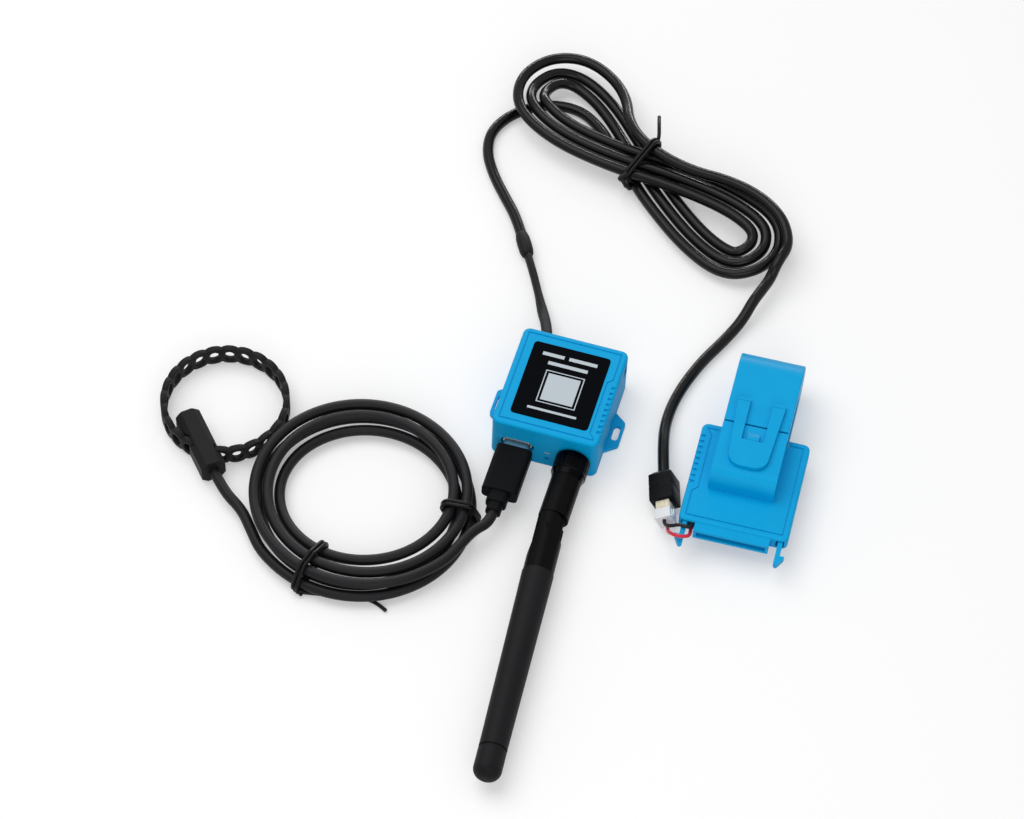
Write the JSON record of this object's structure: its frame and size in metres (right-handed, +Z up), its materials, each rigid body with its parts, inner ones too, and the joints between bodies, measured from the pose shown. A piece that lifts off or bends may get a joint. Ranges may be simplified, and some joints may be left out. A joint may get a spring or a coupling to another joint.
{
  "type": "smart current transformer",
  "caption": "Blue wireless sensor unit with a folding whip, a split clamp-on current transformer on a tied cable, and a plug-in temperature probe on a coiled cable.",
  "frame": {"origin": "centre of the underside of the sensor unit's base, on the plane that every piece lies on", "axes": "+Z up through the unit's face, +Y towards the side its clamp lead leaves, +X to the right seen from the antenna end with the face up"},
  "size_m": [0.1949, 0.265, 0.0194],
  "materials": {
    "blue_case": "fine satin moulding",
    "screw_steel": "plain steel",
    "face_label": null,
    "circuit_board": "solder mask",
    "module_can": "pressed shield",
    "capacitor_can": "plain can",
    "black_moulding": "fine black satin",
    "light_pipe": "clear light guide",
    "jack_brass": "plated brass",
    "nut_chrome": "black plated knurled nut with bright edges",
    "clamp_blue": "fine satin moulding",
    "ferrite": "sintered core",
    "bobbin_moulding": "natural moulding",
    "winding_copper": "enamelled wire",
    "connector_black": "smooth black shell",
    "header_cream": "natural nylon",
    "plug_white": "white nylon",
    "lead_black": "smooth insulation",
    "lead_red": "smooth insulation",
    "cable_black": "smooth jacket with soft shine",
    "tie_black": "coated twist wire",
    "probe_cord_grey": "smooth jacket",
    "plug_moulding": "fine matt overmould",
    "probe_rubber": "matt rubber",
    "sensor_steel": "plain steel"
  },
  "bodies": {
    "fixed_set": {"upper_housing": "blue_case", "bottom_cover": "blue_case", "housing_screws": "screw_steel", "jaw_hinge_pins": "screw_steel", "face_label": "face_label", "main_board": "circuit_board", "winding_terminal": "circuit_board", "radio_module": "module_can", "usb_port": "module_can", "usb_plug_shell": "module_can", "storage_capacitors": "capacitor_can", "lead_terminal": "black_moulding", "reset_switch": "black_moulding", "status_light_pipe": "light_pipe", "antenna_jack": "jack_brass", "antenna_jack_nut": "jack_brass", "clamp_cover": "clamp_blue", "clamp_tray": "clamp_blue", "lower_core": "ferrite", "winding_bobbin": "bobbin_moulding", "secondary_winding": "winding_copper", "lead_connector_block": "connector_black", "shrink_sleeve": "connector_black", "lead_header": "header_cream", "lead_plug": "plug_white", "black_lead": "lead_black", "red_lead": "lead_red", "housing_lead": "cable_black", "housing_cable": "cable_black", "cable_hank": "cable_black", "clamp_cable": "cable_black", "hank_tie": "tie_black", "coil_tie_right": "tie_black", "coil_tie_left": "tie_black", "probe_coil": "probe_cord_grey", "plug_cable": "probe_cord_grey", "probe_cable": "probe_cord_grey", "usb_plug_body": "plug_moulding", "probe_head": "probe_rubber", "probe_strap": "probe_rubber", "temperature_sensor": "sensor_steel"},
    "antenna_base": {"antenna_stem": "black_moulding", "antenna_hinge_pin": "nut_chrome"},
    "coupling_nut": {"antenna_nut": "nut_chrome"},
    "whip": {"antenna_knuckle": "black_moulding", "whip_sleeve": "black_moulding", "whip_tip": "black_moulding", "whip_radiator": "jack_brass"},
    "jaw": {"upper_jaw": "clamp_blue", "upper_core": "ferrite"},
    "latch": {"latch_tab": "clamp_blue"},
    "left_leg": {"snap_leg_left": "clamp_blue"},
    "right_leg": {"snap_leg_right": "clamp_blue"},
    "reset_key": {"reset_button": "blue_case"}
  },
  "joints": [
    {"name": "antenna_swivel", "type": "hinge", "parent": "fixed_set", "child": "antenna_base", "pos_m": [0.0096, -0.03, 0.007], "axis": [0, -1, 0], "range_deg": [-270, 90]},
    {"name": "antenna_nut_spin", "type": "hinge", "parent": "antenna_base", "child": "coupling_nut", "pos_m": [0.0096, -0.022, 0.007], "axis": [0, -1, 0], "continuous": true},
    {"name": "antenna_fold", "type": "hinge", "parent": "antenna_base", "child": "whip", "pos_m": [0.0096, -0.04585, 0.007], "axis": [0, 0, 1], "range_deg": [-3.9, 86.1]},
    {"name": "jaw_open", "type": "hinge", "parent": "fixed_set", "child": "jaw", "pos_m": [0.05988, 0.00426, 0.002], "axis": [-0.9992, -0.0393, 0], "range_deg": [0, 90], "deforming": ["latch_tab"]},
    {"name": "latch_lift", "type": "hinge", "parent": "jaw", "child": "latch", "pos_m": [0.05968, 0.00936, 0.01815], "axis": [-0.9992, -0.0393, 0], "range_deg": [0, 7], "stiffness_Nm_per_rad": 0.02},
    {"name": "left_leg_flex", "type": "hinge", "parent": "fixed_set", "child": "left_leg", "pos_m": [0.04714, -0.02796, 0.0086], "axis": [0, 0, 1], "range_deg": [0, 4], "stiffness_Nm_per_rad": 0.02},
    {"name": "right_leg_flex", "type": "hinge", "parent": "fixed_set", "child": "right_leg", "pos_m": [0.07592, -0.02683, 0.0086], "axis": [0, 0, -1], "range_deg": [0, 4], "stiffness_Nm_per_rad": 0.02},
    {"name": "reset_press", "type": "slide", "parent": "fixed_set", "child": "reset_key", "axis": [0, 1, 0], "range_m": [0, 0.00025], "stiffness_N_per_m": 200}
  ]
}
